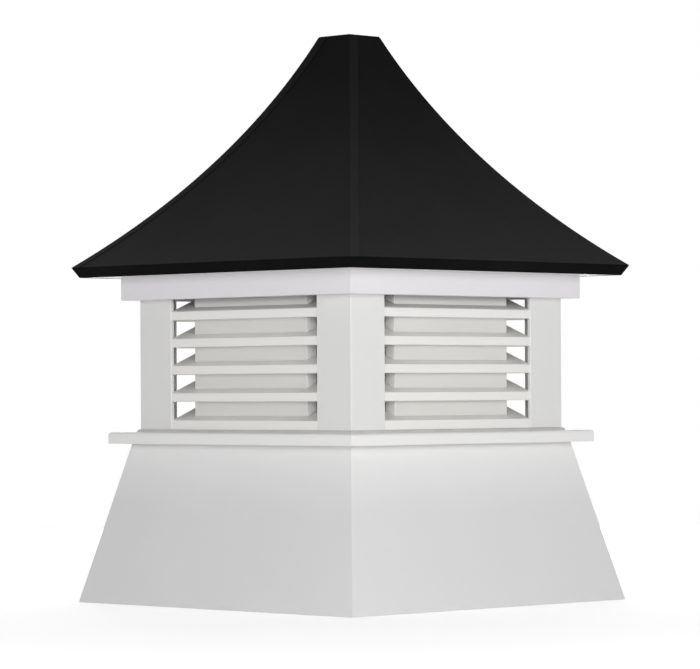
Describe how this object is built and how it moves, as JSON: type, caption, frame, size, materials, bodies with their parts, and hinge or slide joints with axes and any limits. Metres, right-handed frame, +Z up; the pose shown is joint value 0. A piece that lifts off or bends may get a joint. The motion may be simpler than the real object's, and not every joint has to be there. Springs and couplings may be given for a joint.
{
  "type": "cupola",
  "caption": "Square louvred roof cupola with a flared base, white boards and a concave black metal pagoda roof with a flat top.",
  "frame": {"origin": "centre of the base, on the plane its bottom edges stand on", "axes": "+Z up along the axis of the roof, X and Y square to the four faces, -Y the front face"},
  "size_m": [0.622, 0.622, 0.889],
  "materials": {
    "white_pvc": "satin cellular PVC board",
    "white_louver": "satin cellular PVC slat",
    "black_metal": "satin black powder coat on sheet aluminium"
  },
  "bodies": {
    "root": {"base_panel_back": "white_pvc", "base_panel_front": "white_pvc", "base_panel_left": "white_pvc", "base_panel_right": "white_pvc", "blade_back_1": "white_louver", "blade_back_2": "white_louver", "blade_back_3": "white_louver", "blade_back_4": "white_louver", "blade_back_5": "white_louver", "blade_front_1": "white_louver", "blade_front_2": "white_louver", "blade_front_3": "white_louver", "blade_front_4": "white_louver", "blade_front_5": "white_louver", "blade_left_1": "white_louver", "blade_left_2": "white_louver", "blade_left_3": "white_louver", "blade_left_4": "white_louver", "blade_left_5": "white_louver", "blade_right_1": "white_louver", "blade_right_2": "white_louver", "blade_right_3": "white_louver", "blade_right_4": "white_louver", "blade_right_5": "white_louver", "corner_board_back_left": "white_pvc", "corner_board_back_right": "white_pvc", "corner_board_front_left": "white_pvc", "corner_board_front_right": "white_pvc", "deck_board_back": "white_pvc", "deck_board_front": "white_pvc", "deck_board_left": "white_pvc", "deck_board_right": "white_pvc", "frieze_board_back": "white_pvc", "frieze_board_front": "white_pvc", "frieze_board_left": "white_pvc", "frieze_board_right": "white_pvc", "roof_cap": "black_metal", "roof_panel_back": "black_metal", "roof_panel_front": "black_metal", "roof_panel_left": "black_metal", "roof_panel_right": "black_metal", "sill_board_back": "white_pvc", "sill_board_front": "white_pvc", "sill_board_left": "white_pvc", "sill_board_right": "white_pvc", "weather_strips_back": "white_louver", "weather_strips_front": "white_louver", "weather_strips_left": "white_louver", "weather_strips_right": "white_louver"}
  },
  "joints": []
}
